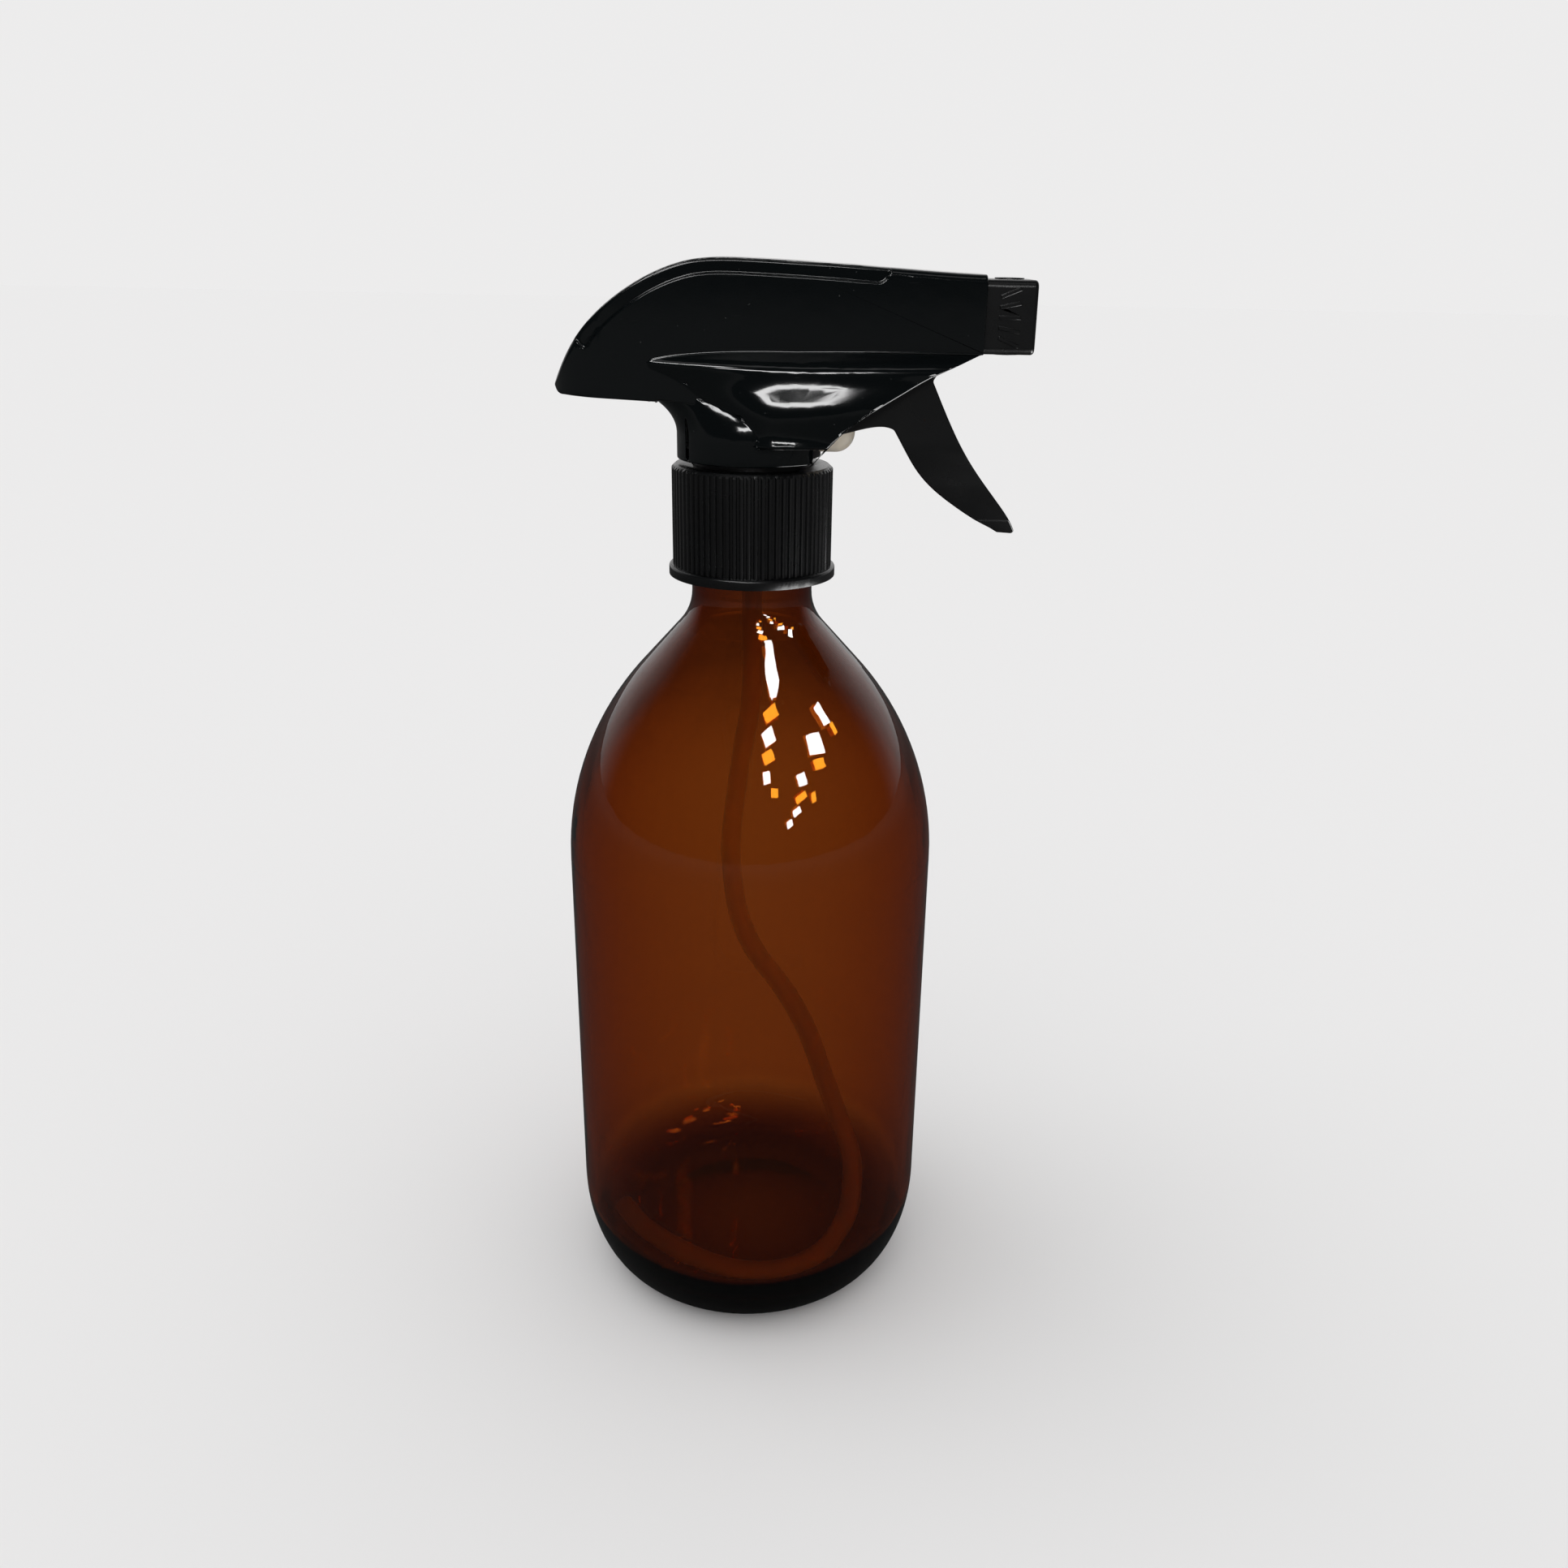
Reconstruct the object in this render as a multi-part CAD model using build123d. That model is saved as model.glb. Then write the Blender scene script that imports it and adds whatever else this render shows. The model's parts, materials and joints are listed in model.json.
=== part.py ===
from build123d import *
import os
from math import atan2, cos, degrees, hypot, pi, radians, sin, sqrt, tan

# Trigger spray bottle: a round glass bottle with a screw-on pump head.
# Frame: origin at the centre of the bottle's foot, +Z up the bottle's axis,
# +X the way the nozzle points, +Y to the side. Millimetres throughout.

# ---- glass bottle ----
body_r = 37.65          # straight wall, outside
wall = 2.2              # straight wall, glass thickness
floor_t = 5.5           # glass under the cavity
heel_w, heel_h = 10.2, 20.6     # outer heel: a quarter ellipse
heel_in_r = 12.0        # inner heel radius
foot_in_r = 22.0        # inner edge of the ring that stands on the table
punt_h = 2.4            # hollow under the foot
shoulder_z = 98.5       # where the straight wall ends
shoulder_slope = 42.0   # degrees between the straight part of the shoulder and the axis
shoulder_run = 11.8     # length of that straight part
neck_r = 11.75          # below the bead
neck_fillet = 10.0
neck_len = 3.0          # straight glass under the bead
neck_bore = 9.3         # radius of the mouth
bead_r, bead_h = 13.4, 1.6
finish_h = 17.8         # underside of the bead to the lip
finish_r = 12.45        # root of the thread
thread_pitch = 4.233    # six turns to the inch
thread_h = 1.1          # how far a ridge stands out of its wall
thread_turns = 1.5
thread_top = 2.0        # lip to the middle of the ridge's top end

# ---- screw collar, gasket ----
collar_skirt = 17.5     # how far the collar reaches below the lip
collar_gap = 0.4        # between thread crests and the facing wall
collar_wall = 1.05
collar_top = 1.3        # thickness of the top
collar_ribs = 72
rib_h = 0.4
foot_flange_w, foot_flange_h = 0.75, 1.9
flank_gap = 0.26        # along the axis, between engaged ridges
gasket_t = 1.0
gasket_in_r = 9.7

# ---- connector between bottle and pump ----
flange_t = 1.15
boss_gap = 0.3          # boss to the hole in the collar's top
boss_h = 0.8            # boss above the collar's top
collar_hole_r = 11.6
plug_gap = 0.2          # plug to the mouth
plug_wall = 1.2
plug_len = 5.0          # below the lip
holder_wall = 1.8
holder_len = 12.0       # tube holder, below the lip
tube_stop = 5.0         # top of the dip tube, below the lip
inlet_hole_r = 1.3
inlet_chamber_r = 2.75
inlet_ball_r = 2.4
socket_r, socket_h = 5.0, 2.0

# ---- dip tube ----
tube_r = 2.0
tube_bore = 1.3

# ---- pump body ----
barrel_rise = 12.4      # barrel axis above the lip
barrel_bore = 6.5
barrel_wall = 0.9
barrel_back = -11.5
barrel_front = 10.5
barrel_end_t = 1.2
port_x = -8.5           # inlet and outlet ports of the pump chamber
spout_rise = 30.9       # discharge tube axis above the lip
spout_r, spout_bore = 3.6, 2.0
spout_back = -12.0
base_r = 11.5
disc_w, disc_t = 1.45, 1.4      # rim that carries the shroud
riser_r = 3.2
outlet_ball_r = 1.8
nozzle_seat_r = 5.3
nozzle_seat_back = 38.0
nozzle_seat_front = 47.5
pivot_x, pivot_drop = 28.0, 1.4     # trigger pivot: along X, below the spout axis
pin_r, pin_reach = 1.6, 6.6

# ---- piston and its spring ----
piston_gap = 0.08
piston_back, piston_front = 1.5, 19.3
piston_wall = 1.3
piston_nose = 3.6       # rounding of the closed end
seal_w, seal_depth, seal_gap = 2.0, 0.8, 0.03
spring_gap = 0.77        # coil to the inside of the piston
spring_wire, spring_turns = 0.45, 7

# ---- trigger ----
cheek_gap = 0.3         # inside of the cheeks to the barrel
cheek_t = 1.25
web_t = 1.5             # finger face
tip_half = 7.0          # half width at the finger tip
arm_in, arm_t, arm_r = 4.3, 1.6, 3.6
pin_gap = 0.05
push_gap = 0.3          # push rib to the piston's face
push_r = 1.6

# ---- shroud ----
shell = 1.3
skirt_r = 14.3
skirt_z0 = 4.5          # lower edge, above the lip
hood_half, hood_front_half = 9.2, 8.0
hood_edge = 1.5         # rounding of the top edges
neck_half = 13.4        # half width of the oval neck
swell_half = 14.5       # half width of the swellings beside it
ledge_z = 8.0           # their lower edge, above the lip
front_x = 41.8
band_depth, band_h = 0.5, 2.6
snap_w = 0.5

# ---- nozzle ----
cap_gap = 0.15          # shroud front to the cap
cap_half, cap_len = 6.4, 9.2
cap_bore_gap = 0.05
orifice_r = 0.35
spinner_gap = 0.05
mark_h = 0.25           # raised signs on the cap

# ---- levels that follow from the sizes ----
a = radians(shoulder_slope)
shoulder_sum = (body_r - neck_r - shoulder_run * sin(a)) / (1 - cos(a))
shoulder_r = shoulder_sum - neck_fillet
neck_z = shoulder_z + shoulder_sum * sin(a) + shoulder_run * cos(a)
bead_z = neck_z + neck_len
lip_z = bead_z + finish_h
thread_crest = finish_r + thread_h
collar_r = thread_crest + collar_gap            # inside of the collar
collar_out = collar_r + collar_wall
flange_z = lip_z + gasket_t
collar_roof = flange_z + flange_t + 0.05
collar_end = collar_roof + collar_top
base_z = collar_end + boss_h                    # pump body stands here
barrel_z = lip_z + barrel_rise
spout_z = lip_z + spout_rise
pivot_z = spout_z - pivot_drop
barrel_r = barrel_bore + barrel_wall
cheek_in = barrel_r + cheek_gap
cheek_out = cheek_in + cheek_t
disc_z = base_z + 1.0
piston_r = barrel_bore - piston_gap
spring_r = piston_r - piston_wall - spring_gap - spring_wire
skirt_z = lip_z + skirt_z0
cap_x = front_x + cap_gap


def ring(r_out, r_in, z0, z1):
    body = Pos(0, 0, (z0 + z1) / 2) * Cylinder(r_out, z1 - z0)
    return body - Pos(0, 0, (z0 + z1) / 2) * Cylinder(r_in, z1 - z0 + 2) if r_in else body


def rod_x(r, x0, x1, z, y=0.0):
    return Pos((x0 + x1) / 2, y, z) * Rot(0, 90, 0) * Cylinder(r, x1 - x0)


def rod_y(r, x, y0, y1, z):
    return Pos(x, (y0 + y1) / 2, z) * Rot(90, 0, 0) * Cylinder(r, y1 - y0)


def block(x0, x1, y0, y1, z0, z1):
    return Pos((x0 + x1) / 2, (y0 + y1) / 2, (z0 + z1) / 2) * Box(x1 - x0, y1 - y0, z1 - z0)


def neck_plate(rx, ry, z0, z1):
    """An oval plate, as the head's neck is oval."""
    arcs = [EllipticalCenterArc((0, 0), rx, ry, a, arc_size=180) for a in (0, 180)]
    return Pos(0, 0, z0) * extrude(make_face(arcs), z1 - z0)


def turned(*points):
    """A solid of revolution about Z from a closed outline of (radius, height)."""
    return revolve(make_face(Plane.XZ * Polyline(*points, close=True)), Axis.Z)


def ridge(r_root, height, z0, turns, out, base_w, crest_w):
    """A helical thread ridge that stands out of, or into, a round wall."""
    sink = 0.15
    s = 1 if out else -1
    path = Helix(thread_pitch, thread_pitch * turns, r_root, center=(0, 0, z0))
    start = Plane(origin=path @ 0, x_dir=(1, 0, 0), z_dir=path % 0)
    grow = (base_w - crest_w) / 2 * sink / height
    outline = Polyline(
        (-s * sink, -base_w / 2 - grow),
        (s * height, -crest_w / 2),
        (s * height, crest_w / 2),
        (-s * sink, base_w / 2 + grow),
        close=True,
    )
    return sweep(start * make_face(outline), path, is_frenet=True)


def glass_line(offset, neck, fillet_r, low, top):
    """Half outline of the bottle from the heel's end to the top, inset by offset below the neck."""
    c1 = Vector(body_r - shoulder_r, shoulder_z)
    r1 = shoulder_r - offset
    u = Vector(cos(a), sin(a))
    h = Vector(cos(a / 2), sin(a / 2))
    x = neck + fillet_r
    c2 = Vector(x, c1.Y + (r1 + fillet_r - (x - c1.X) * cos(a)) / sin(a))
    p1, p2 = c1 + u * r1, c2 - u * fillet_r
    m1, m2 = c1 + h * r1, c2 - h * fillet_r
    return [
        Line((c1.X + r1, low), (c1.X + r1, c1.Y)),
        ThreePointArc((c1.X + r1, c1.Y), (m1.X, m1.Y), (p1.X, p1.Y)),
        Line((p1.X, p1.Y), (p2.X, p2.Y)),
        ThreePointArc((p2.X, p2.Y), (m2.X, m2.Y), (neck, c2.Y)),
        Line((neck, c2.Y), (neck, top)),
    ]


def bottle():
    outer = glass_line(0, neck_r, neck_fillet, heel_h, lip_z - 0.9)
    foot_r = body_r - heel_w
    outside = Plane.XZ * make_face(
        [
            ThreePointArc((0, punt_h), (foot_in_r * 0.55, punt_h * 0.72), (foot_in_r, 0)),
            Line((foot_in_r, 0), (foot_r, 0)),
            EllipticalCenterArc((foot_r, heel_h), heel_w, heel_h, -90, arc_size=90),
            *outer,
            Line((neck_r, lip_z - 0.9), (0, lip_z - 0.9)),
            Line((0, lip_z - 0.9), (0, punt_h)),
        ]
    )
    body = revolve(outside, Axis.Z)
    finish = ring(finish_r, 0, bead_z, lip_z)
    finish = fillet(finish.edges().group_by(Axis.Z)[-1], 0.5)
    bead = ring(bead_r, 0, bead_z, bead_z + bead_h)
    bead = fillet(bead.edges().group_by(Axis.Z)[-1] + bead.edges().group_by(Axis.Z)[0], 0.6)
    body = body + finish + bead
    body += ridge(
        finish_r, thread_h, lip_z - thread_top - thread_turns * thread_pitch, thread_turns, True, 1.9, 1.1
    )
    in_r = body_r - wall
    z = floor_t + heel_in_r
    inner = glass_line(wall, neck_bore, neck_fillet + wall, z, lip_z + 1)
    arc_mid = (in_r - heel_in_r * (1 - cos(pi / 4)), z - heel_in_r * sin(pi / 4))
    cavity = Plane.XZ * make_face(
        [
            Line((0, floor_t), (in_r - heel_in_r, floor_t)),
            ThreePointArc((in_r - heel_in_r, floor_t), arc_mid, (in_r, z)),
            *inner,
            Line((neck_bore, lip_z + 1), (0, lip_z + 1)),
            Line((0, lip_z + 1), (0, floor_t)),
        ]
    )
    return body - revolve(cavity, Axis.Z)


def collar():
    z0 = lip_z - collar_skirt
    step = 2 * pi / collar_ribs
    outline = []
    for i in range(collar_ribs):
        for share, r in ((-0.34, 0), (-0.2, rib_h), (0.2, rib_h), (0.34, 0)):
            t = (i + share) * step
            outline.append(((collar_out + r) * cos(t), (collar_out + r) * sin(t)))
    skirt = Pos(0, 0, z0) * extrude(make_face(Polyline(*outline, close=True)), collar_end - z0)
    top = collar_out + rib_h + 0.01
    skirt &= turned((0, z0), (top, z0), (top, collar_end - 0.7), (top - 0.75, collar_end), (0, collar_end))
    flange = ring(collar_out + rib_h + foot_flange_w, 0, z0, z0 + foot_flange_h)
    flange = fillet(flange.edges().group_by(Axis.Z)[-1], 0.5)
    body = skirt + flange
    body -= ring(collar_r, 0, z0 - 1, collar_roof)
    body -= ring(collar_hole_r, 0, z0, collar_end + 1)
    below = 0.5 * (1.9 + 1.1) - 0.16 + flank_gap    # ridge to ridge, along the axis
    body += ridge(
        collar_r,
        thread_h,
        lip_z - thread_top - thread_turns * thread_pitch - below,
        thread_turns - 0.25,
        False,
        1.9,
        1.0,
    )
    return body


def gasket():
    return ring(collar_r - 0.65, gasket_in_r, lip_z, flange_z)


def connector():
    z = lip_z
    plug_r = neck_bore - plug_gap
    hold_r = tube_r + holder_wall
    body = turned(
        (0, z - holder_len),
        (hold_r - 0.5, z - holder_len),
        (hold_r, z - holder_len + 0.5),
        (hold_r, flange_z),
        (plug_r - plug_wall, flange_z),
        (plug_r - plug_wall, z - plug_len),
        (plug_r - 0.4, z - plug_len),
        (plug_r, z - plug_len + 1.0),
        (plug_r, flange_z),
        (collar_r - 0.65, flange_z),
        (collar_r - 0.65, flange_z + flange_t),
        (collar_hole_r - boss_gap, flange_z + flange_t),
        (collar_hole_r - boss_gap, base_z),
        (0, base_z),
    )
    body -= ring(tube_r + 0.02, 0, z - holder_len - 1, z - tube_stop)
    body -= ring(inlet_hole_r, 0, z - tube_stop - 1, base_z + 1)
    seat = z - tube_stop + 1.4
    body -= turned(
        (0, seat),
        (inlet_hole_r, seat),
        (inlet_chamber_r, seat + 1.2),
        (inlet_chamber_r, z + 2.0),
        (0, z + 2.0),
    )
    body -= block(-2.3, 2.3, -0.5, 0.5, z + 1.5, z + 2.8)
    body -= ring(socket_r, 0, base_z - socket_h, base_z + 1)
    body -= Pos((hold_r + plug_r - plug_wall) / 2, 0, 0) * ring(0.6, 0, flange_z - 1, base_z + 1)
    return body


def seated_ball(r, z, hole_r, wide_r, rise):
    """A ball resting on a cone that widens from hole_r to wide_r over rise."""
    half = atan2(wide_r - hole_r, rise)
    return Pos(0, 0, z - hole_r / tan(half) + r / sin(half) + 0.02) * Sphere(r)


def inlet_ball():
    return seated_ball(inlet_ball_r, lip_z - tube_stop + 1.4, inlet_hole_r, inlet_chamber_r, 1.2)


def tube_path():
    """Centre line of the dip tube: down the axis, then a loose curl round the foot."""
    swing = body_r - wall - tube_r - 2.1
    points = [(0, 0, lip_z - tube_stop), (0, 0, lip_z - 24), (0.4, -0.4, lip_z - 42)]
    points += [(-2.4, -3.6, lip_z - 58), (-4.3, -9.5, lip_z - 74), (-1.2, -15.5, lip_z - 89)]
    for turn, share, z in (
        (-62, 0.74, 72),
        (-53, 0.90, 54),
        (-43.5, 1.0, 36),
        (-45, 1.0, 22),
        (-58, 0.99, 14.5),
        (-76, 0.99, 13.0),
        (-96, 0.99, 14.0),
        (-116, 0.99, 16.5),
        (-136, 0.99, 17.5),
        (-150, 0.985, 18.0),
    ):
        t = radians(turn)
        points.append((swing * share * cos(t), swing * share * sin(t), z))
    v = [Vector(*p) for p in points]
    radii = []
    for p, q, r in zip(v, v[1:], v[2:]):
        bend = (q - p).get_angle(r - q)
        radii.append(0.45 * min((q - p).length, (r - q).length) / tan(radians(bend) / 2))
    return FilletPolyline(*v, radius=radii), radii


def dip_tube():
    path, radii = tube_path()
    start = Plane(origin=path @ 0, z_dir=path % 0)
    solid = sweep(start * (Circle(tube_r) - Circle(tube_bore)), path)
    length = path.length
    print(
        "dip tube: length %.1f, volume %.1f of %.1f, smallest radius %.1f"
        % (length, solid.volume, pi * (tube_r**2 - tube_bore**2) * length, min(radii))
    )
    return solid


def pump_body():
    body = ring(base_r, 0, base_z, disc_z + 0.1) + neck_plate(base_r + disc_w, neck_half - shell - 0.05, disc_z, disc_z + disc_t)
    body += ring(socket_r - 0.03, 0, base_z - socket_h + 0.05, base_z + 0.1)
    body += rod_x(barrel_r, barrel_back, barrel_front, barrel_z)
    body += block(barrel_back + 1.5, barrel_front - 1, -1, 1, barrel_z + barrel_bore + 0.3, spout_z - 2.5)
    body += Pos(port_x, 0, 0) * ring(riser_r, 0, barrel_z + barrel_bore + 0.2, spout_z)
    body += rod_x(spout_r, spout_back, nozzle_seat_back + 1, spout_z)
    body += rod_x(nozzle_seat_r, nozzle_seat_back, nozzle_seat_front, spout_z)
    for s in (-1, 1):
        y = sorted((s * (spout_bore + 0.5), s * pin_reach))
        body += rod_y(pin_r, pivot_x, y[0], y[1], pivot_z)
    body -= rod_x(barrel_bore, barrel_back + barrel_end_t, base_r + disc_w + 1, barrel_z)
    body -= rod_x(spout_bore, spout_back + 1.5, nozzle_seat_front + 1, spout_z)
    # snap groove for the nozzle cap
    x = (nozzle_seat_back + nozzle_seat_front) / 2 + 2.2
    body -= rod_x(nozzle_seat_r + 1, x, x + 1.4, spout_z) - rod_x(nozzle_seat_r - 0.3, x - 1, x + 3, spout_z)
    # inlet: up the middle, back along the base, up into the chamber
    low = barrel_z - barrel_bore
    body -= ring(1.9, 0, base_z - socket_h - 1, base_z + 0.8)
    body -= block(port_x - 0.8, 0, -0.9, 0.9, base_z + 0.05, base_z + 0.8)
    body -= Pos(port_x, 0, 0) * ring(0.9, 0, base_z + 0.1, low + 1)
    # outlet: a ball seat in the riser
    seat = barrel_z + barrel_r + 1.4
    body -= Pos(port_x, 0, 0) * ring(1.0, 0, barrel_z + barrel_bore - 1, spout_z)
    body -= Pos(port_x, 0, 0) * turned(
        (0, seat), (1.0, seat), (2.1, seat + 0.9), (2.1, seat + 5.0), (1.4, seat + 5.6), (0, seat + 5.6)
    )
    # vent from the front of the barrel into the bottle
    vent_x = (tube_r + holder_wall + neck_bore - plug_gap - plug_wall) / 2
    body -= Pos(vent_x, 0, 0) * ring(0.6, 0, base_z - 1, barrel_z)
    return body


def outlet_ball():
    return Pos(port_x, 0, 0) * seated_ball(outlet_ball_r, barrel_z + barrel_r + 1.4, 1.0, 2.1, 0.9)


def piston():
    body = rod_x(piston_r, piston_back, piston_front, barrel_z)
    body = fillet(body.edges().group_by(Axis.X)[-1], piston_nose)
    hollow = rod_x(piston_r - piston_wall, piston_back - 1, piston_front - piston_wall, barrel_z)
    hollow = fillet(hollow.edges().group_by(Axis.X)[-1], piston_nose - 1)
    body -= hollow
    x = piston_back + 0.9
    body -= rod_x(piston_r + 1, x, x + seal_w, barrel_z) - rod_x(piston_r - seal_depth, x - 1, x + 5, barrel_z)
    return body


def piston_seal():
    x = piston_back + 0.9
    body = rod_x(barrel_bore - seal_gap, x + 0.02, x + seal_w - 0.02, barrel_z)
    body = fillet(body.edges(), 0.35)
    return body - rod_x(piston_r - seal_depth + 0.02, x - 1, x + 5, barrel_z)


def return_spring():
    x0 = barrel_back + barrel_end_t + spring_wire
    x1 = piston_front - piston_wall - spring_wire - 0.85
    pitch = (x1 - x0) / spring_turns
    path = Helix(pitch, x1 - x0, spring_r)
    coil = sweep(Plane(origin=path @ 0, z_dir=path % 0) * Circle(spring_wire), path, is_frenet=True)
    return Pos(x0, 0, barrel_z) * Rot(0, 90, 0) * coil


def spinner():
    x0, x1 = nozzle_seat_back + 1.5, nozzle_seat_front + 1.1
    r = spout_bore - spinner_gap
    body = rod_x(r, x0, x1, spout_z)
    for s in (-1, 1):
        body -= block(x0 - 1, x1 - 0.8, *sorted((s * (r - 0.45), s * (r + 1))), spout_z - 3, spout_z + 3)
        body -= block(x1 - 0.8, x1 + 1, *sorted((s * (r - 0.45), s * (r + 1))), spout_z - 0.4, spout_z + 0.4)
    body -= rod_x(0.8, x1 - 0.4, x1 + 1, spout_z)
    return body


def sign_bars():
    """Raised signs: a spray fan on the two side faces, a ring with a bar above and below."""
    sink = 0.2
    z0, z1 = cap_half - sink, cap_half + mark_h
    fan = [Pos(cap_x + 4.3, 2.1 * k, (z0 + z1) / 2) * Rot(0, 0, 11 * k) * Box(3.8, 0.6, z1 - z0) for k in range(-2, 3)]
    mid = cap_x + cap_len / 2
    stop = Pos(mid, 0, 0) * ring(2.7, 2.0, z0, z1) + block(mid - 2.2, mid + 2.2, -0.33, 0.33, z0, z1)
    return fan, [stop]


def nozzle_cap():
    x1 = cap_x + cap_len
    body = block(cap_x, x1, -cap_half, cap_half, -cap_half, cap_half)
    body = fillet(body.edges().filter_by(Axis.X), 1.3)
    body = fillet(body.edges().group_by(Axis.X)[-1], 0.7)
    fan, stop = sign_bars()
    for k in range(4):
        for sign in fan if k % 2 else stop:
            body += Rot(90 * k, 0, 0) * sign
    body = Pos(0, 0, spout_z) * body
    inner = nozzle_seat_front + 0.1
    body -= rod_x(nozzle_seat_r + cap_bore_gap, cap_x - 1, inner, spout_z)
    x = (nozzle_seat_back + nozzle_seat_front) / 2 + 2.5
    body += rod_x(nozzle_seat_r + 0.3, x, x + 0.8, spout_z) - rod_x(nozzle_seat_r - 0.2, x - 1, x + 2, spout_z)
    body -= rod_x(spout_bore + 0.1, inner - 1, nozzle_seat_front + 1.15, spout_z)
    body -= rod_x(0.9, inner, nozzle_seat_front + 1.7, spout_z)
    body -= rod_x(orifice_r, inner, x1 + 1, spout_z)
    dish = Pos(x1, 0, spout_z) * Rot(0, 90, 0) * Cone(1.2, 3.4, 1.2, align=(Align.CENTER, Align.CENTER, Align.CENTER))
    return body - dish


def levels(points):
    """Head outlines are written as (x, height above the lip)."""
    return [(x, lip_z + z) for x, z in points]


def trigger():
    front = levels([(34.4, 22.4), (32.9, 19.9), (35.5, 14.4), (39.1, 7.7), (42.8, 2.4), (46.0, -1.6), (48.5, -4.9), (50.0, -7.6)])
    tip = levels([(49.6, -8.1), (46.8, -7.9), (45.2, -6.9)])
    back = levels([(45.2, -6.9), (41.4, -4.8), (37.5, -2.3), (33.6, 0.7), (30.9, 3.6), (29.2, 6.1), (26.2, 11.2)])
    lobe = levels([(26.2, 11.2), (24.8, 11.65), (21.8, 11.5), (18.5, 10.7), (15.6, 10.0)])
    top = levels([(15.0, 10.6), (15.0, 14.6), (24.5, 18.9), (31.5, 22.0), (34.4, 22.4)])
    outline = Polyline(front[0], front[1]) + Spline(*front[1:]) + Polyline(front[-1], *tip) + Spline(*back)
    outline = [Line(front[0], front[1]), Spline(*front[1:]), Polyline(front[-1], *tip), Spline(*back), Spline(*lobe)]
    outline += [Polyline(lobe[-1], *top)]
    body = extrude(Plane.XZ * make_face(outline), cheek_out, both=True)
    # seen from the front the lever narrows below the cheeks to a rounded tip
    z_wide, z_tip = lip_z + 8.0, lip_z - 8.3
    half = make_face(
        Polyline(
            (-cheek_out, lip_z + 24), (-cheek_out, z_wide), (-tip_half - 0.3, z_tip + 9), (-tip_half, z_tip + 3),
            (-tip_half + 2.5, z_tip), (tip_half - 2.5, z_tip), (tip_half, z_tip + 3), (tip_half + 0.3, z_tip + 9),
            (cheek_out, z_wide), (cheek_out, lip_z + 24), close=True,
        )
    )
    front_view = Plane(origin=(0, 0, 0), x_dir=(0, 1, 0), z_dir=(1, 0, 0))
    body &= front_view * extrude(half, 80)
    # the channel behind the finger face
    inner = [(x - web_t - 0.35, z - 0.2) for x, z in front[1:-1]]
    x_tip, z_low = inner[-1][0] - 0.2, inner[-1][1]
    hollow = make_face(
        [
            Spline(*inner),
            Polyline(inner[-1], (x_tip - 9, z_low), (0, z_low), (0, lip_z + 25), (24.6, lip_z + 25), (24.6, lip_z + 17.5),
                     (inner[0][0] - 1.2, lip_z + 20.4), inner[0]),
        ]
    )
    hollow = extrude(Plane.XZ * hollow, cheek_out, both=True)
    half_in = make_face(
        Polyline(
            (-cheek_in, lip_z + 24), (-cheek_in, z_wide), (-tip_half + cheek_t - 0.3, z_tip + 9), (-tip_half + cheek_t, z_tip),
            (tip_half - cheek_t, z_tip), (tip_half - cheek_t + 0.3, z_tip + 9),
            (cheek_in, z_wide), (cheek_in, lip_z + 24), close=True,
        )
    )
    body -= hollow & front_view * extrude(half_in, 80)
    # arms up to the pivot
    for s in (-1, 1):
        y0, y1 = sorted((s * arm_in, s * (arm_in + arm_t)))
        arm = make_face(
            Polyline(
                (24.6, lip_z + 18.6), (25.0, pivot_z - 2), (pivot_x, pivot_z - 1), (pivot_x + arm_r - 0.6, pivot_z - 2),
                (33.4, lip_z + 21.6), close=True,
            )
        )
        arm = Pos(0, (y0 + y1) / 2, 0) * extrude(Plane.XZ * arm, arm_t / 2, both=True)
        body += arm + rod_y(arm_r, pivot_x, y0, y1, pivot_z)
    body -= rod_y(pin_r + pin_gap, pivot_x, -pin_reach - 3, pin_reach + 3, pivot_z)
    # rib that pushes the piston
    body += rod_y(push_r, piston_front + push_gap + push_r, -cheek_in - 0.2, cheek_in + 0.2, barrel_z + 1.2)
    return body


def hood_line():
    """Side outline of the top, from the front back to the tail."""
    return levels(
        [
            (front_x, 38.1), (33.0, 38.45), (24.4, 38.95), (12.4, 39.6), (0.3, 40.1), (-5.1, 40.2), (-10.5, 39.75),
            (-16.0, 38.1), (-21.5, 35.3), (-27.1, 31.2), (-31.8, 26.1), (-35.2, 20.4), (-36.3, 18.1),
        ]
    )


def inset(points, t):
    moved = []
    for i, (x, z) in enumerate(points):
        (xa, za), (xb, zb) = points[max(i - 1, 0)], points[min(i + 1, len(points) - 1)]
        n = hypot(xb - xa, zb - za)
        moved.append((x - (zb - za) / n * t, z + (xb - xa) / n * t))
    return moved


def side_solid(edges, half):
    return extrude(Plane.XZ * make_face(edges), half, both=True)


def plan_solid(points_or_edges, z0, z1):
    return Pos(0, 0, z0) * extrude(make_face(points_or_edges), z1 - z0)


def hood_plan(t):
    """Plan of the narrow upper part: tapers to the front, rounded round the tail."""
    h, f = hood_half - t, hood_front_half - t
    x = front_x + 1 - (2.5 if t else 0)
    return [
        Line((x, -f), (8, -h)),
        Line((8, -h), (-26.5, -h)),
        EllipticalCenterArc((-26.5, 0), 10.8 - t, h, 270, arc_size=-180),
        Line((-26.5, h), (8, h)),
        Line((8, h), (x, f)),
        Line((x, f), (x, -f)),
    ]


def oval(z, x, back, front, half):
    """A level outline: two half ellipses that meet at x, with their tips at back and front."""
    return Pos(0, 0, lip_z + z) * make_face(
        [
            EllipticalCenterArc((x, 0), x - back, half, 90, arc_size=180),
            EllipticalCenterArc((x, 0), front - x, half, 270, arc_size=180),
        ]
    )


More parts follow.
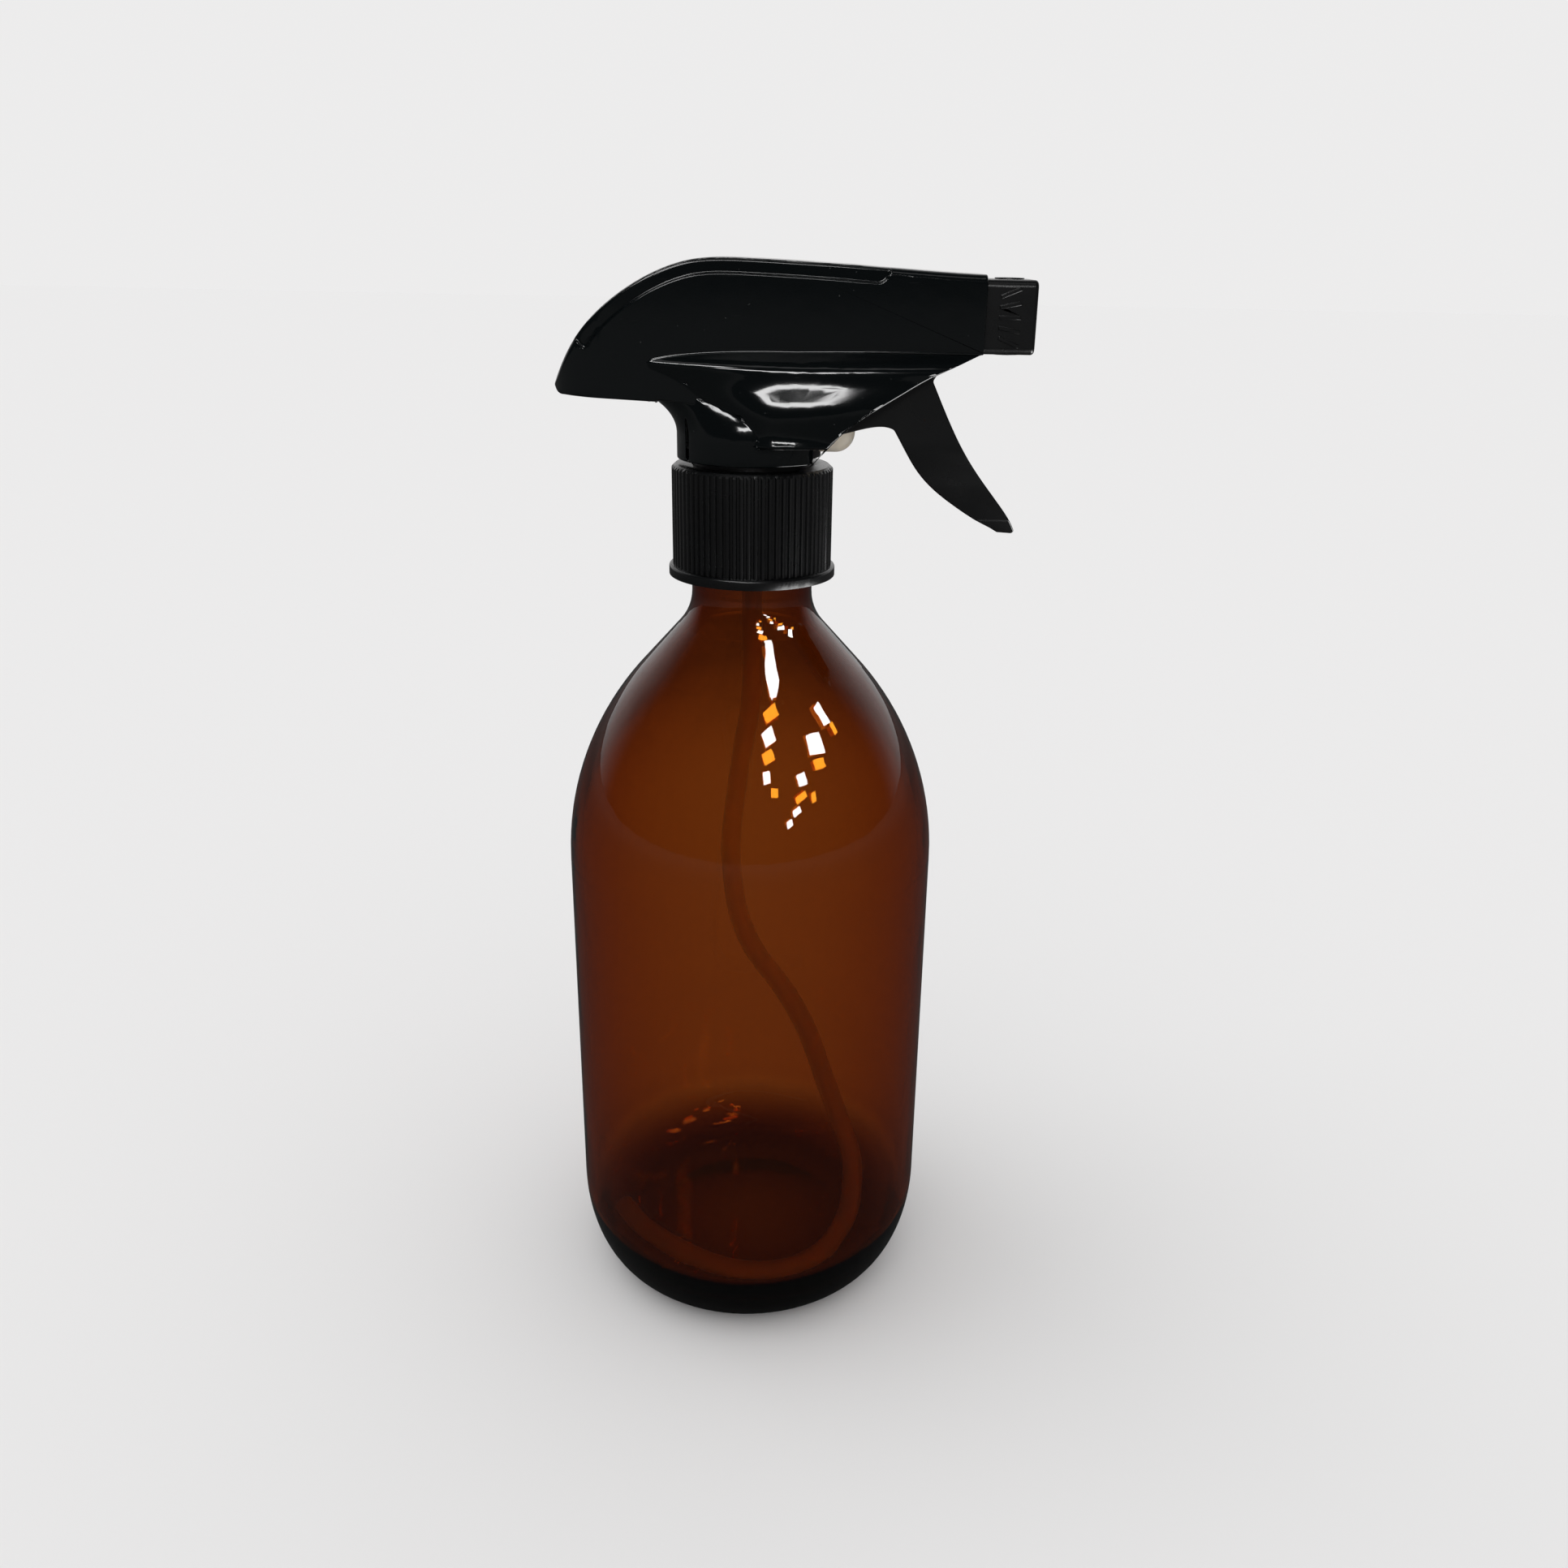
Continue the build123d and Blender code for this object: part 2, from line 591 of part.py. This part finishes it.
def shroud_mass(t):
    """The outer shape (t = 0), or the hollow inside it (t = shell)."""
    top = inset(hood_line(), t)
    low = lip_z + 15.6 if t == 0 else lip_z + 5
    if t:
        top = [(front_x - 1.5, top[0][1])] + top[1:-2] + [(-34.6, lip_z + 18.6)]
    hood = plan_solid(hood_plan(t), lip_z - 10, lip_z + 50)
    tail_end = levels([(-35.0, 16.2), (-17.0, 15.4)] if t == 0 else [(-34.6, 10), (-18.4, 10), (-18.4, 15.6), (-12, 15.6)])
    end = [Spline(*top)]
    if t == 0:      # rounded corner under the tail
        corner = levels([(-35.75, 16.5), (-34.4, 16.15)])
        end.append(ThreePointArc(top[-1], corner[0], corner[1]))
        top, tail_end = top[:1] + [corner[1]], tail_end[1:]
    end.append(Polyline(top[-1], *tail_end, (tail_end[-1][0], low), (top[0][0], low), top[0]))
    hood &= side_solid(end, 20)
    if t == 0:
        over = [e for f in hood.faces() if f.normal_at().Z > 0.5 for e in f.edges()]
        hood = fillet([e for e in over if abs(e.center().Y) > 5], hood_edge)
    # the neck stands on the collar and leans back under the tail
    r, n = skirt_r - t, neck_half - t
    base = skirt_z - lip_z - (3 if t else 0)
    neck = neck_plate(r, n, lip_z + base, lip_z + 9.4)
    neck += loft(
        [
            oval(9.4, 0, -r, r, n),
            oval(11.8, 0, -r - 0.7, r + 2, n - 0.5),
            oval(13.8, 0, -r - 2.3, r + 4, n - 1.4),
            oval(15.8, 0, -r - 5.2, r + 6, n - 2.8),
        ]
    )
    # swellings on both sides, from the neck's front to a crease under the hood
    drop = 0.75 * t
    swell = loft(
        [
            oval(ledge_z + t, 5, -4.5 + t, 27 - t, swell_half + 0.5 - t),
            oval(ledge_z + 1.5 + t, 5, -5 + t, 31 - t, swell_half - 0.2 - t),
            oval(12.5, 6, -8.5 + t, 40 - t, swell_half - 0.2 - t),
            oval(16, 7, -14 + t, 52 - t, swell_half - 0.6 - t),
            oval(20 - drop, 7, -24 + t, 68 - t, swell_half - 1.7 - t),
            oval(23 - drop, 5, -33 + t, 89 - t, swell_half - 3.3 - t),
            oval(24.6 - drop, 5, -33 + t, 95 - t, swell_half - 5.6 - t),
        ]
    )
    swell &= block(-40, front_x - (1.5 if t else 0), -30, 30, lip_z, lip_z + 50)
    if t == 0:
        swell = fillet(swell.edges().group_by(Axis.Z)[0], 0.5)
    return hood + neck + swell


def mouth_cut():
    """Everything below and in front of the slanted mouth."""
    slant = levels(
        [(11.0, 4.5), (13.8, 7.9), (16.6, 10.6), (20.1, 13.3), (23.6, 15.6), (27.0, 17.6), (31.5, 20.2), (35.6, 22.1), (41.0, 24.4)]
    )
    return side_solid(
        [Spline(*slant), Polyline(slant[-1], (front_x + 3, lip_z + 25.4), (60, lip_z + 20), (60, lip_z - 5), (11.0, lip_z - 5), slant[0])],
        30,
    )


def shroud():
    body = shroud_mass(0) - shroud_mass(shell)
    # sunk band along the top edge
    top = [p for p in hood_line() if -33 < p[0] < 22]
    top = [(22.6, lip_z + 38.95)] + top
    high = inset(top, -2.0)
    low = inset(top, band_h)
    band = side_solid(
        [Spline(*high), Line(high[-1], low[-1]), Spline(*low[::-1]), ThreePointArc(low[0], (23.9, lip_z + 37.2), high[0])], 20
    )
    outline = hood_plan(band_depth)
    body -= band - plan_solid(outline, lip_z - 10, lip_z + 60)
    # snap bead under the pump body's rim
    hollow = neck_half - shell
    body += neck_plate(skirt_r - shell + 0.2, hollow + 0.2, skirt_z, disc_z - 0.05) - neck_plate(
        base_r + disc_w - snap_w, hollow - snap_w, skirt_z - 1, disc_z + 1
    )
    body -= mouth_cut()
    body -= rod_x(nozzle_seat_r + 0.1, front_x - 4, front_x + 1, spout_z)
    return body


PARTS = {
    "bottle": bottle,
    "collar": collar,
    "gasket": gasket,
    "connector": connector,
    "inlet_ball": inlet_ball,
    "dip_tube": dip_tube,
    "pump_body": pump_body,
    "outlet_ball": outlet_ball,
    "piston": piston,
    "piston_seal": piston_seal,
    "return_spring": return_spring,
    "spinner": spinner,
    "nozzle_cap": nozzle_cap,
    "trigger": trigger,
    "shroud": shroud,
}

os.makedirs("parts", exist_ok=True)
for name, make in PARTS.items():
    solid = make()
    solid.label = name
    export_step(solid, "parts/%s.step" % name)
print("lip height %.2f" % lip_z)
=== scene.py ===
# %% [markdown]
# # A trigger spray bottle
# A round amber glass bottle with a screw-on pump head in black plastic.
# The moulded and turned pieces come from an engineering model in which they already fit and move.
# This lesson loads that model as a fixed frame and gives each piece its finished surface:
# fine rounded edges, glass that is thick where real glass is thick, and plastics that differ in gloss.

# %% The frame
import json
import math

import bmesh
import bpy
from mathutils import Matrix, Vector


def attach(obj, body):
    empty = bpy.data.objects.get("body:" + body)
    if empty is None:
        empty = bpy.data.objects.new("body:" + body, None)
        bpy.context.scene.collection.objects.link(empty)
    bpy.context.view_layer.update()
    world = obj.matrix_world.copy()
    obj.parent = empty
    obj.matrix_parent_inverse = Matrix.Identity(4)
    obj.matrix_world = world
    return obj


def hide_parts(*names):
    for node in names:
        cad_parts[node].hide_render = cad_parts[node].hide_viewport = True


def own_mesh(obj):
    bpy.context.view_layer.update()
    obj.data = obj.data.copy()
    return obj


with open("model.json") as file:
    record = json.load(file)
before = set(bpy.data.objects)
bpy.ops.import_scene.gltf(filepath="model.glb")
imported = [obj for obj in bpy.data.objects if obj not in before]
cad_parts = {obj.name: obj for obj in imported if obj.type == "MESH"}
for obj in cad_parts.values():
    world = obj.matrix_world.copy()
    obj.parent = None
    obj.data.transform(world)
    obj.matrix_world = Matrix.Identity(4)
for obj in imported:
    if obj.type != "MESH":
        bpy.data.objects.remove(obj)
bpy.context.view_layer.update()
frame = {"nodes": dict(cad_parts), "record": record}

MM = 0.001

# %% [markdown]
# ## A short way to write materials
# Shader maths is easier to read as an expression than as a list of links.
# A small class wraps a socket, so that adding or multiplying two of them makes the Math node.
# A second class holds one material and makes every other node through one method.

# %% Shader helpers
MATHS = {"+": "ADD", "-": "SUBTRACT", "*": "MULTIPLY", "/": "DIVIDE"}


class Wire:
    """A socket that can be used in sums."""

    def __init__(self, look, socket):
        self.look, self.socket = look, socket

    def sum(self, sign, a, b):
        return self.look.add("ShaderNodeMath", {"operation": MATHS[sign]}, {0: a, 1: b})

    def __add__(self, other): return self.sum("+", self, other)
    def __radd__(self, other): return self.sum("+", other, self)
    def __sub__(self, other): return self.sum("-", self, other)
    def __rsub__(self, other): return self.sum("-", other, self)
    def __mul__(self, other): return self.sum("*", self, other)
    def __rmul__(self, other): return self.sum("*", other, self)
    def __truediv__(self, other): return self.sum("/", self, other)
    def __rtruediv__(self, other): return self.sum("/", other, self)


class Tree:
    """A node tree that is being drawn up, for a material or for the world."""

    def __init__(self, block, ending):
        block.use_nodes = True
        self.nodes, self.links = block.node_tree.nodes, block.node_tree.links
        self.nodes.clear()
        self.out = self.nodes.new(ending)

    def add(self, kind, settings={}, inputs={}, output=0):
        """Makes a node, links or sets its inputs, and gives one of its outputs."""
        node = self.nodes.new(kind)
        for key, value in settings.items():
            setattr(node, key, value)
        for key, value in inputs.items():
            if isinstance(value, Wire):
                self.links.new(value.socket, node.inputs[key])
            else:
                node.inputs[key].default_value = value
        return Wire(self, node.outputs[output])

    def place(self, scale=(1, 1, 1)):
        """Object coordinates in metres, times a scale."""
        spot = self.add("ShaderNodeTexCoord", output="Object")
        return self.add("ShaderNodeMapping", {}, {"Vector": spot, "Scale": scale})

    def noise(self, size, detail=3.0, rough=0.5, stretch=(1, 1, 1)):
        """Noise whose blotches are about size metres across."""
        inputs = {"Vector": self.place(stretch), "Scale": 1 / size, "Detail": detail, "Roughness": rough}
        return self.add("ShaderNodeTexNoise", {}, inputs)

    def between(self, mask, low, high):
        """Spreads a mask that runs from low to high over 0 to 1, smoothly."""
        inputs = {"Value": mask, "From Min": low, "From Max": high}
        return self.add("ShaderNodeMapRange", {"interpolation_type": "SMOOTHSTEP"}, inputs)

    def mix(self, mask, a, b):
        """Colour a where the mask is 0, colour b where it is 1."""
        return self.add("ShaderNodeMix", {"data_type": "RGBA"}, {0: mask, 6: a, 7: b}, output=2)

    def bump(self, height, distance, strength):
        """Tilts the light as a relief of that depth in metres would."""
        inputs = {"Height": height, "Distance": distance, "Strength": strength}
        return self.add("ShaderNodeBump", {}, inputs)

    def ray(self, kind):
        """1 for light paths of one kind, 0 for the rest."""
        return self.add("ShaderNodeLightPath", output="Is %s Ray" % kind)

    def end(self, shader, socket="Surface"):
        self.links.new(shader.socket, self.out.inputs[socket])


class Look(Tree):
    """One material."""

    def __init__(self, name):
        self.material = bpy.data.materials.new(name)
        super().__init__(self.material, "ShaderNodeOutputMaterial")

    def surface(self, **inputs):
        """The one shader of the material. Its inputs are named with _ for a space."""
        inputs = {name.replace("_", " "): value for name, value in inputs.items()}
        self.end(self.add("ShaderNodeBsdfPrincipled", {}, inputs))
        return self.material


def rgb(*levels):
    """A colour as seen on a screen, 0 to 255, as the linear one that shaders use."""
    return tuple(((c / 255 + 0.055) / 1.055) ** 2.4 if c > 10 else c / 255 / 12.92 for c in levels) + (1.0,)


def grey(value):
    """A linear grey."""
    return (value, value, value, 1)


def dress(obj, material):
    """Gives an object this one material."""
    obj.data.materials.clear()
    obj.data.materials.append(material)


def show(obj):
    """Puts a new object in the scene."""
    bpy.context.collection.objects.link(obj)
    return obj


print("sums", *MATHS)


# %% [markdown]
# ## The floor
# The object stands on a wide pale floor, as on a product table.
# Seen directly it is matt and pale. In reflections it is dark, so that black plastic stays black above it.
# Seen through the glass it glows of itself, which is painted light; under the bottle the glow is dimmed as
# painted shade, and far away it is dimmer too.

# %% Floor
PALE = (0.845, 0.84, 0.84, 1)
FLOOR_HALF = 6.0  # metres
# Where the looks change, in metres from the bottle's axis.
UNDER_BOTTLE_SHADE, FAR_OFF, OUT_OF_SIGHT = (0.03, 0.075), (0.30, 0.62), (0.25, 2.0)
bm = bmesh.new()
bmesh.ops.create_grid(bm, x_segments=1, y_segments=1, size=FLOOR_HALF)
mesh = bpy.data.meshes.new("floor")
bm.to_mesh(mesh)
bm.free()
floor = show(bpy.data.objects.new("floor", mesh))

look = Look("floor_paint")
through = look.ray("Transmission")
mirror = look.ray("Glossy") * (1 - through)
away = look.add("ShaderNodeVectorMath", {"operation": "LENGTH"}, {0: look.place()}, output="Value")
# Painted shade: the glow seen through the glass is dimmed under the bottle.
painted_shade_near = 1 - look.between(away, *UNDER_BOTTLE_SHADE)
far = look.between(away, *FAR_OFF)
paint = look.mix(mirror * (1 - look.between(away, *OUT_OF_SIGHT) * 0.08), PALE, grey(0.05))
dress(floor, look.surface(
    Base_Color=look.mix(through, paint, grey(0.0)),
    Roughness=1.0,
    Specular_IOR_Level=0.0,
    # Painted light: the floor glows where it is seen through the glass, less under the bottle (painted
    # shade) and far away.
    Emission_Color=look.mix(through * (1 - far * 0.6) * (1 - painted_shade_near * 0.72), grey(0.0), grey(0.74)),
    Emission_Strength=1.0,
))
print("floor", 2 * FLOOR_HALF, "metres wide")

# %% [markdown]
# ## The sky
# A pale room lights the floor evenly, but dark glossy things need something dark to reflect,
# or they turn grey. So the sky has one brightness for light that falls on matt surfaces,
# one for what is seen directly, and a lower one for what is seen through the glass.
# Reflections get a gradient, dark on the camera's side and bright behind the object,
# where it draws the edges.

# %% Sky
world = bpy.data.worlds.new("studio")
bpy.context.scene.world = world
sky = Tree(world, "ShaderNodeOutputWorld")
way = sky.add("ShaderNodeTexCoord", output="Generated")
behind = sky.add("ShaderNodeSeparateXYZ", {}, {"Vector": way}, output="Y")
shade = sky.mix(sky.between(behind, 0.15, 1.0), (0.022, 0.024, 0.026, 1), PALE)
for kind, brightness in (("Transmission", grey(0.55)), ("Camera", PALE), ("Diffuse", grey(0.90))):
    shade = sky.mix(sky.ray(kind), shade, brightness)
sky.end(sky.add("ShaderNodeBackground", {}, {"Color": shade}))
print("sky nodes", len(sky.nodes))

# %% [markdown]
# ## Lamps
# Black plastic shows its shape only by what it reflects, and glass shows its skin the same way.
# Long soft boxes give the head its bright strips. Small panes at the right, white or tinted by a low sun,
# stand for a far window that the glass mirrors. Each lights its own pieces alone, and only in reflections.
# One wide sun from the left makes the soft shadow on the floor.

# %% Lamps
HEAD_MIDDLE, GLASS_MIDDLE = (0, 0, 0.17), (0, 0, 0.13)
ROOM = 1.2  # how far off the boxes and panes are, in metres


def lamp(name, turned, up, far, wide, tall, glow, aim=HEAD_MIDDLE):
    """A soft box of a given brightness, seen from aim at so many degrees to the right and up."""
    data = bpy.data.lights.new(name, "AREA")
    data.shape, data.size, data.size_y = "RECTANGLE", wide, tall
    data.energy = glow * math.pi * wide * tall
    obj = show(bpy.data.objects.new(name, data))
    a, b = math.radians(turned), math.radians(up)
    way = Vector((math.sin(a) * math.cos(b), -math.cos(a) * math.cos(b), math.sin(b)))
    obj.location = Vector(aim) + far * way
    obj.rotation_euler = (-way).to_track_quat("-Z", "Y").to_euler()
    obj.visible_diffuse = False
    obj.visible_camera = False
    return obj


glass_only = bpy.data.collections.new("lit by the panes")
glass_only.objects.link(frame["nodes"]["bottle"])
head_only = bpy.data.collections.new("lit by the boxes")
for node in ("shroud", "trigger", "nozzle_cap", "collar"):
    head_only.objects.link(frame["nodes"][node])
for box in (
    lamp("left_box", -30, 43, ROOM, 0.42, 0.15, 16),
    lamp("middle_box", -5, 24, ROOM, 0.52, 0.12, 18),
    lamp("high_box", -12, 68, ROOM, 0.9, 0.30, 0.6),
    lamp("low_card", 72, -42, 0.22, 0.20, 0.14, 9.0),
):
    box.light_linking.receiver_collection = head_only

# %% [markdown]
# The window's panes each have a turn and a height in degrees, a width and a height in metres, and a colour.
# They hang a little askew, each by another angle.

# %% Panes
WHITE, WARM = (1.0, 1.0, 1.0), (1.0, 0.33, 0.02)
PANE_GLOW, ASKEW = 26, 17
PANES = (
    (42, 64, 0.20, 0.08, WHITE), (27, 57, 0.21, 0.12, WARM), (20, 48, 0.17, 0.13, WHITE),
    (17, 40, 0.16, 0.10, WARM), (14, 32, 0.10, 0.10, WHITE), (19, 26, 0.09, 0.07, WARM),
    (80, 42, 0.13, 0.18, WHITE), (60, 37, 0.22, 0.16, WHITE), (57, 30, 0.15, 0.08, WARM),
    (40, 28, 0.13, 0.09, WHITE), (37, 22, 0.14, 0.06, WARM), (33, 17, 0.11, 0.06, WHITE),
    (27, 13, 0.09, 0.06, WHITE), (46, 20, 0.07, 0.08, WARM), (82, 35, 0.08, 0.08, WARM),
)
for k, (turned, up, wide, tall, colour) in enumerate(PANES):
    pane = lamp("pane_%d" % k, turned, up, ROOM, wide, tall, PANE_GLOW, GLASS_MIDDLE)
    pane.data.color = colour
    pane.light_linking.receiver_collection = glass_only
    pane.rotation_euler.rotate_axis("Z", math.radians(ASKEW * math.sin(7 * k)))

# %% Sun
sun = show(bpy.data.objects.new("sun", bpy.data.lights.new("sun", "SUN")))
sun.data.energy, sun.data.angle = 0.42, math.radians(50)
sun.rotation_euler = Vector((0.62, -0.12, -0.75)).to_track_quat("-Z", "Y").to_euler()
sun.visible_glossy = False
print("lamps", len(bpy.data.lights))

# %% [markdown]
# ## The camera
# It stands in front of the bottle, a little to the nozzle's side and close by, so the perspective is strong.
# It looks down by about twenty degrees, and is held about one degree askew.

# %% Camera
STANDS_AT = (0.01109, -0.26372, 0.21702)
LOOKS_DOWN, HELD_ASKEW = math.radians(21.434), math.radians(1.113)
camera = show(bpy.data.objects.new("camera", bpy.data.cameras.new("camera")))
bpy.context.scene.camera = camera
camera.data.sensor_width = 36.0
camera.data.lens = 31.25
camera.data.shift_x, camera.data.shift_y = -0.01305, -0.00164
camera.data.clip_start, camera.data.clip_end = 0.01, 50.0
turn = Matrix.Rotation(math.pi / 2 - LOOKS_DOWN, 4, "X") @ Matrix.Rotation(HELD_ASKEW, 4, "Z")
camera.matrix_world = Matrix.Translation(STANDS_AT) @ turn
bpy.context.scene.view_settings.view_transform = "Standard"
print("camera at", [round(v, 3) for v in camera.location])

# %% [markdown]
# ## The finishes
# Amber glass gets its colour from iron in the melt, so the colour is in the depth and not on the surface.
# A volume that absorbs blue most, green less and red least does the same:
# thin walls glow, and thick ones go nearly black.

# %% Amber glass
look = Look("amber_glass")
ripple = look.noise(0.012, 2.0, 0.5, (1, 1, 0.5))
look.surface(
    Base_Color=(1, 1, 1, 1),
    Roughness=0.0,
    IOR=1.51,
    Transmission_Weight=1.0,
    Normal=look.bump(ripple, 0.0004, 0.25),
)
depth = look.add("ShaderNodeVolumeAbsorption", {}, {"Color": (0.70, 0.42, 0.008, 1), "Density": 1290.0})
look.end(depth, "Volume")
amber_glass = look.material
print(amber_glass.name, "nodes", len(look.nodes))

# %% [markdown]
# The hood is polished polypropylene. Fine dust specks and hairline scratches break up its reflections.
# The specks are a sharpened noise, greyer and rougher than the black. The scratches are a stretched one.

# %% Gloss black
look = Look("gloss_black")
haze = look.noise(0.012, 4.0, 0.6)
speck = look.between(look.noise(0.0008, 2.0, 0.5), 0.74, 0.79)
hair = look.between(look.noise(0.0006, 2.0, 0.5, (0.06, 1, 1)), 0.70, 0.76)
orange_peel = look.noise(0.004, 1.0, 0.4)
gloss_black = look.surface(
    Base_Color=look.mix(speck, rgb(7, 10, 11), rgb(40, 42, 42)),
    Roughness=0.06 + haze * 0.06 + speck * 0.3 + hair * 0.12,
    Normal=look.bump(orange_peel, 0.00003, 0.3),
    Specular_IOR_Level=0.5,
)
print(gloss_black.name, "nodes", len(look.nodes))

# %% [markdown]
# The collar, the trigger and the nozzle come from moulds with a fine spark-eroded texture.
# Light spreads on it, so the black looks a little greyer, and a tiny grain keeps it from looking like paint.

# %% Satin black
look = Look("satin_black")
grain = look.noise(0.0003, 3.0, 0.6)
cloud = look.noise(0.01, 3.0, 0.5)
satin_black = look.surface(
    Base_Color=look.mix(cloud, rgb(8, 9, 10), rgb(12, 13, 14)),
    Roughness=0.22 + cloud * 0.10,
    Normal=look.bump(grain, 0.00002, 0.5),
    Specular_IOR_Level=0.5,
)
print(satin_black.name, "nodes", len(look.nodes))

# %% [markdown]
# Inside the hood the pump body is a rougher black, as it is hardly seen.
# Natural polypropylene has no dye: light goes some way into it and comes out again, which is subsurface
# scattering. The thin tube lets light through as well.

# %% Inner plastics
look = Look("body_black")
body_black = look.surface(Base_Color=rgb(22, 22, 23), Roughness=0.5 + look.noise(0.005) * 0.1)

look = Look("natural_plastic")
milk = look.noise(0.004, 3.0, 0.5)
natural_plastic = look.surface(
    Base_Color=look.mix(milk, rgb(205, 194, 176), rgb(222, 213, 198)),
    Roughness=0.32 + milk * 0.1,
    Subsurface_Weight=0.35,
    Subsurface_Radius=(0.003, 0.0025, 0.0018),
    Subsurface_Scale=1.0,
)

look = Look("base_black")
base_black = look.surface(Base_Color=rgb(16, 16, 17), Roughness=0.35 + look.noise(0.004) * 0.1)

look = Look("tube_plastic")
tube_plastic = look.surface(
    Base_Color=look.mix(look.noise(0.01), rgb(226, 222, 212), rgb(240, 238, 232)),
    Roughness=0.3,
    Alpha=0.4,
    Transmission_Weight=0.3,
)
print("plastics", body_black.name, natural_plastic.name, base_black.name, tube_plastic.name)

# %% Rubber and steel
look = Look("grey_rubber")
grey_rubber = look.surface(Base_Color=rgb(190, 190, 186), Roughness=0.8 + look.noise(0.002) * 0.1)
look = Look("seal_rubber")
seal_rubber = look.surface(Base_Color=rgb(30, 30, 30), Roughness=0.6 + look.noise(0.002) * 0.1)
look = Look("steel")
drawn = look.noise(0.0008, 3.0, 0.6, (0.1, 1, 1))
steel = look.surface(Base_Color=rgb(190, 190, 192), Metallic=1.0, Roughness=0.22 + drawn * 0.15)
print("finishes", len(bpy.data.materials))

# %% Finishes on the frame's pieces
FINISH = {
    "collar": satin_black, "trigger": satin_black, "nozzle_cap": satin_black, "shroud": gloss_black,
    "pump_body": body_black, "connector": base_black, "piston": natural_plastic, "spinner": natural_plastic,
    "dip_tube": tube_plastic, "gasket": grey_rubber, "piston_seal": seal_rubber,
    "return_spring": steel, "inlet_ball": steel, "outlet_ball": steel, "bottle": amber_glass,
}
for node, finish in FINISH.items():
    dress(frame["nodes"][node], finish)
print("pieces dressed", len(FINISH))


# %% [markdown]
# ## Rounded edges on the moulded pieces
# A mould leaves no knife edges, and the thin bright line along each rounded edge makes a piece look solid.
# The engineering pieces have sharp edges, so each visible one is copied, its doubled points are merged,
# flat areas are dissolved into single faces, and a Bevel modifier rounds what is sharper than its angle.
# Where thin faces would hold the rounding back, it may overlap them, and the shading is evened out.

# %% Softened copies
DOUBLED = 0.002 * MM
FLAT = math.radians(0.6)


def soften(node, width, angle, even=False):
    """A copy that replaces a frame piece. Its edges are rounded where they turn by more than angle."""
    source = frame["nodes"][node]
    bm = bmesh.new()
    bm.from_mesh(source.data)
    bmesh.ops.remove_doubles(bm, verts=bm.verts, dist=DOUBLED)
    bmesh.ops.dissolve_limit(
        bm, angle_limit=FLAT, verts=bm.verts, edges=bm.edges, use_dissolve_boundaries=False
    )
    for face in bm.faces:
        face.smooth = True
    mesh = bpy.data.meshes.new(node + "_soft")
    bm.to_mesh(mesh)
    bm.free()
    piece = show(bpy.data.objects.new(node + "_soft", mesh))
    dress(piece, FINISH[node])
    bevel = piece.modifiers.new("edges", "BEVEL")
    bevel.width, bevel.segments, bevel.limit_method = width, 3, "ANGLE"
    bevel.use_clamp_overlap = not even
    bevel.angle_limit = math.radians(angle)
    bevel.miter_outer = "MITER_ARC"
    if even:
        piece.modifiers.new("even shading", "WEIGHTED_NORMAL").weight = 100
    else:
        bevel.harden_normals = True
    body = next(b for b, members in frame["record"]["behaviour"]["bodies"].items() if node in members)
    head_only.objects.link(piece)
    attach(piece, body)
    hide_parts(node)
    print(piece.name, "faces", len(mesh.polygons))


soften("shroud", 0.3 * MM, 32, even=True)
soften("trigger", 0.3 * MM, 28, even=True)
soften("nozzle_cap", 0.08 * MM, 32, even=True)
soften("collar", 0.12 * MM, 28)

# %% [markdown]
# ## The return spring
# The spring stands between the barrel's end and the piston, so it gets shorter as the trigger is pulled.
# A copy of it stays with the head and gets a mesh of its own.

# %% A copy of the spring
coil = show(bpy.data.objects.new("spring_coil", frame["nodes"]["return_spring"].data.copy()))
dress(coil, steel)
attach(coil, "head")
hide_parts("return_spring")
points = [v.co for v in coil.data.vertices]
middle = sum(p.z for p in points) / len(points)
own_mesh(coil)
